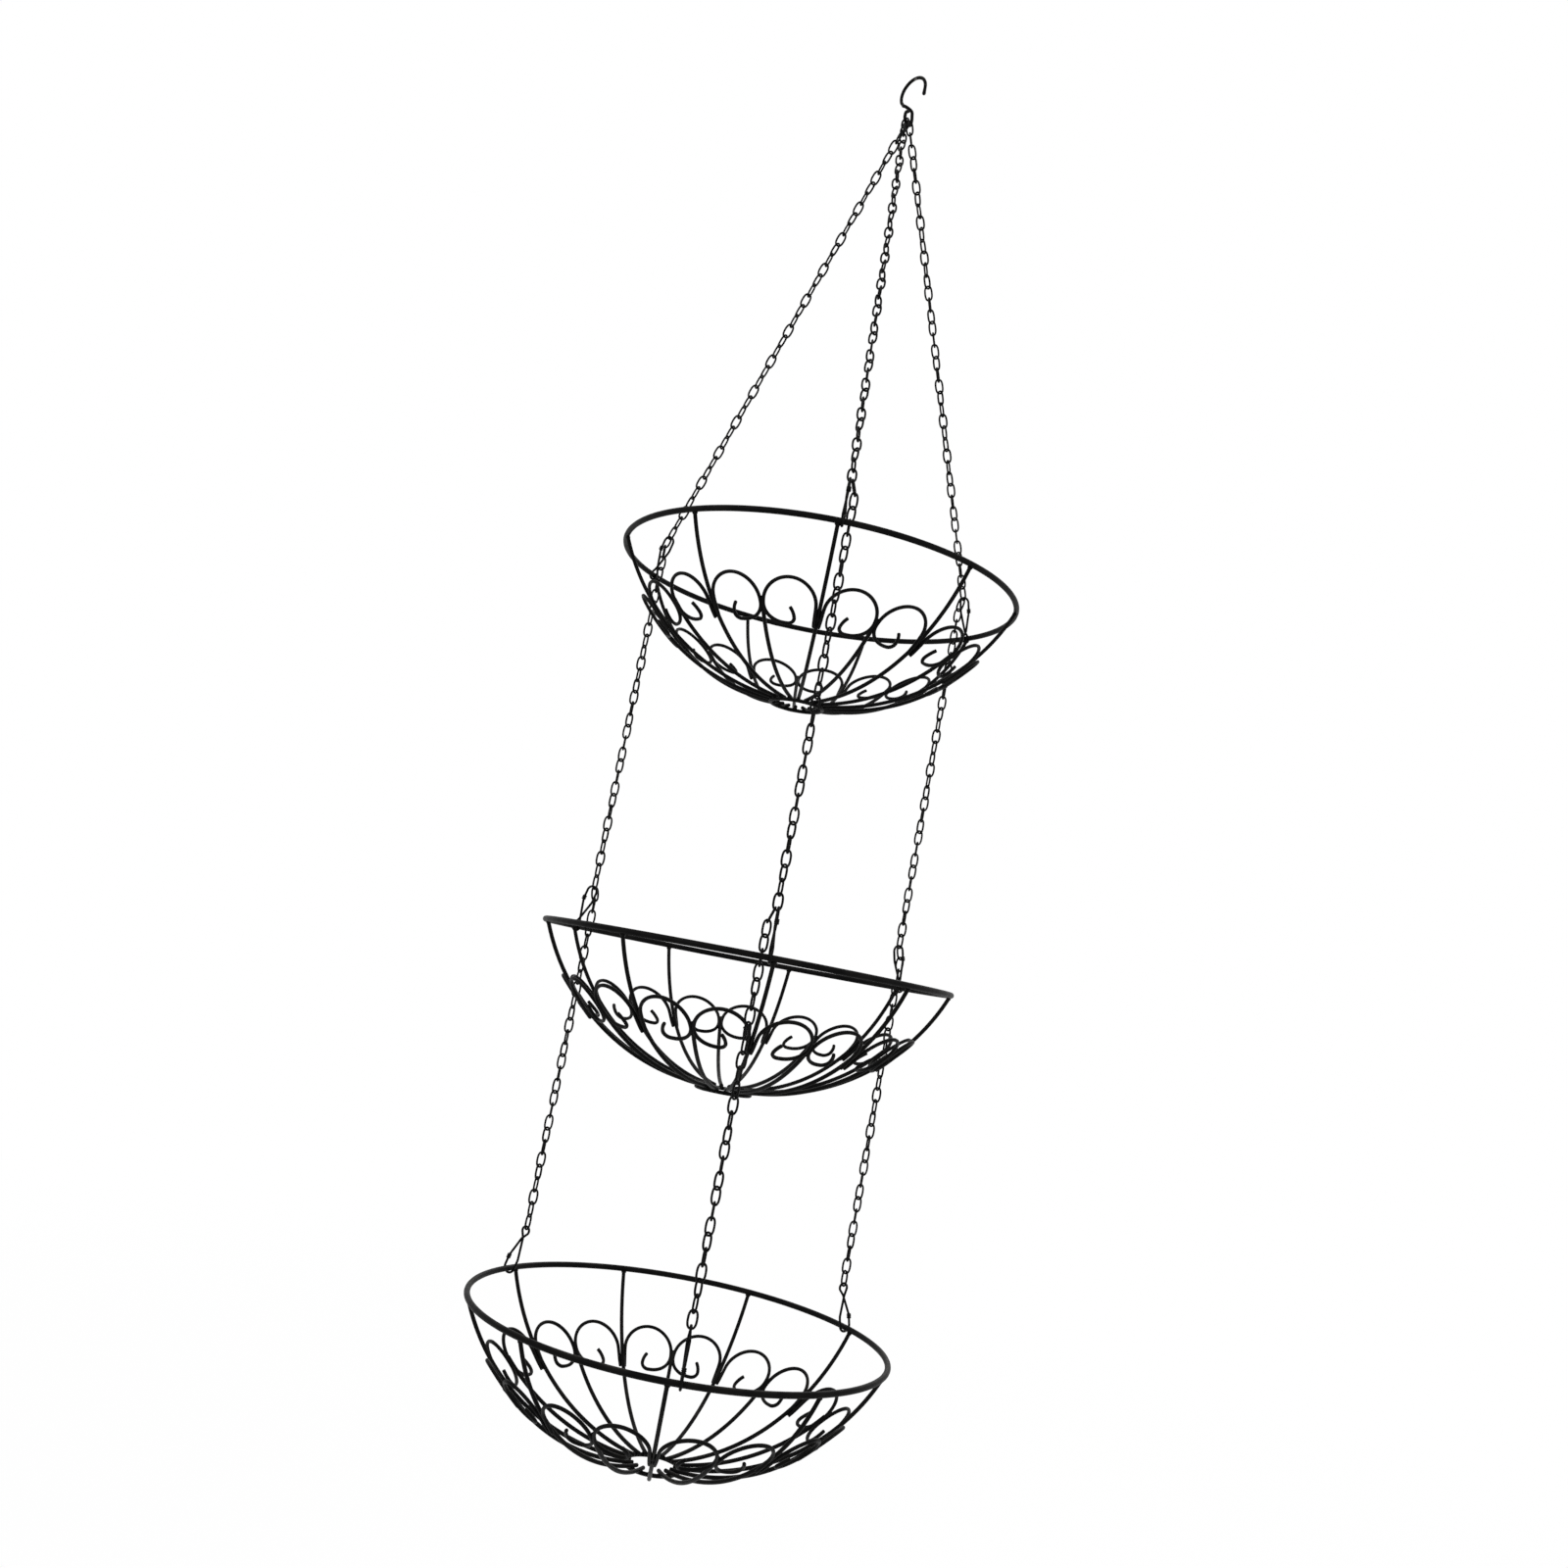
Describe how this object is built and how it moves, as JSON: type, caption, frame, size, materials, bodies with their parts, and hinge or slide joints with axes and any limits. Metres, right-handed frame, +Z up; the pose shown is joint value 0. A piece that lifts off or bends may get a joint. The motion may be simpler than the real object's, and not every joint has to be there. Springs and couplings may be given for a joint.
{
  "type": "hanging fruit basket",
  "caption": "Hanging fruit basket: round wire bowls with scroll work, carried one below the other on link chains from a ceiling hook.",
  "frame": {"origin": "where the inside of the ceiling hook's crook bears on what carries it", "axes": "+Z up along the basket's vertical axis, -Y towards the front chain, +X to the right seen from the front"},
  "size_m": [0.2834, 0.2864, 1.0047],
  "materials": {
    "enamelled_wire": "black enamel, satin with soft highlights",
    "link_chain": "thin black lacquer on bright steel links",
    "spring_clip": "black lacquered spring wire"
  },
  "bodies": {
    "hook": {"ceiling_hook": "enamelled_wire"},
    "top_tier": {"upper_chain_front": "link_chain", "upper_chain_right": "link_chain", "upper_chain_left": "link_chain", "top_rim": "enamelled_wire", "top_base_ring": "enamelled_wire", "top_full_ribs": "enamelled_wire", "top_short_ribs": "enamelled_wire", "top_scrolls": "enamelled_wire", "top_clip_front": "spring_clip", "top_clip_right": "spring_clip", "top_clip_left": "spring_clip", "top_held_links_front": "link_chain", "top_held_links_right": "link_chain", "top_held_links_left": "link_chain"},
    "middle_front_run": {"middle_chain_front": "link_chain"},
    "middle_right_run": {"middle_chain_right": "link_chain"},
    "middle_left_run": {"middle_chain_left": "link_chain"},
    "middle_tier": {"middle_rim": "enamelled_wire", "middle_base_ring": "enamelled_wire", "middle_full_ribs": "enamelled_wire", "middle_short_ribs": "enamelled_wire", "middle_scrolls": "enamelled_wire", "middle_clip_front": "spring_clip", "middle_clip_right": "spring_clip", "middle_clip_left": "spring_clip", "middle_held_links_front": "link_chain", "middle_held_links_right": "link_chain", "middle_held_links_left": "link_chain"},
    "bottom_front_run": {"bottom_chain_front": "link_chain"},
    "bottom_right_run": {"bottom_chain_right": "link_chain"},
    "bottom_left_run": {"bottom_chain_left": "link_chain"},
    "bottom_tier": {"bottom_rim": "enamelled_wire", "bottom_base_ring": "enamelled_wire", "bottom_full_ribs": "enamelled_wire", "bottom_short_ribs": "enamelled_wire", "bottom_scrolls": "enamelled_wire", "bottom_clip_front": "spring_clip", "bottom_clip_right": "spring_clip", "bottom_clip_left": "spring_clip", "bottom_held_links_front": "link_chain", "bottom_held_links_right": "link_chain", "bottom_held_links_left": "link_chain"}
  },
  "joints": [
    {"name": "top_swing", "type": "hinge", "parent": "hook", "child": "top_tier", "pos_m": [0, 0, -0.03605], "axis": [0.6428, 0.766, 0], "range_deg": [-20, 20]},
    {"name": "middle_sway", "type": "hinge", "parent": "top_tier", "child": "middle_front_run", "pos_m": [0.00382, -0.132, -0.43599], "axis": [0, 1, 0], "range_deg": [-20, 20]},
    {"name": "middle_sway_right", "type": "hinge", "parent": "top_tier", "child": "middle_right_run", "pos_m": [0.1124, 0.06931, -0.43599], "axis": [0, 1, 0], "range_deg": [-20, 20]},
    {"name": "middle_sway_left", "type": "hinge", "parent": "top_tier", "child": "middle_left_run", "pos_m": [-0.11623, 0.06269, -0.43599], "axis": [0, 1, 0], "range_deg": [-20, 20]},
    {"name": "middle_level", "type": "hinge", "parent": "middle_front_run", "child": "middle_tier", "pos_m": [0.00382, -0.132, -0.62783], "axis": [0, 1, 0], "range_deg": [-20, 20]},
    {"name": "bottom_sway", "type": "hinge", "parent": "middle_tier", "child": "bottom_front_run", "pos_m": [0, -0.132, -0.70585], "axis": [1, 0, 0], "range_deg": [-20, 20]},
    {"name": "bottom_sway_right", "type": "hinge", "parent": "middle_tier", "child": "bottom_right_run", "pos_m": [0.11431, 0.066, -0.70585], "axis": [1, 0, 0], "range_deg": [-20, 20]},
    {"name": "bottom_sway_left", "type": "hinge", "parent": "middle_tier", "child": "bottom_left_run", "pos_m": [-0.11431, 0.066, -0.70585], "axis": [1, 0, 0], "range_deg": [-20, 20]},
    {"name": "bottom_level", "type": "hinge", "parent": "bottom_front_run", "child": "bottom_tier", "pos_m": [0, -0.132, -0.87153], "axis": [1, 0, 0], "range_deg": [-20, 20]}
  ],
  "couplings": [
    {"joint": "middle_sway_right", "follows": "middle_sway", "ratio": 1},
    {"joint": "middle_sway_left", "follows": "middle_sway", "ratio": 1},
    {"joint": "middle_level", "follows": "middle_sway", "ratio": -1},
    {"joint": "bottom_sway_right", "follows": "bottom_sway", "ratio": 1},
    {"joint": "bottom_sway_left", "follows": "bottom_sway", "ratio": 1},
    {"joint": "bottom_level", "follows": "bottom_sway", "ratio": -1}
  ]
}
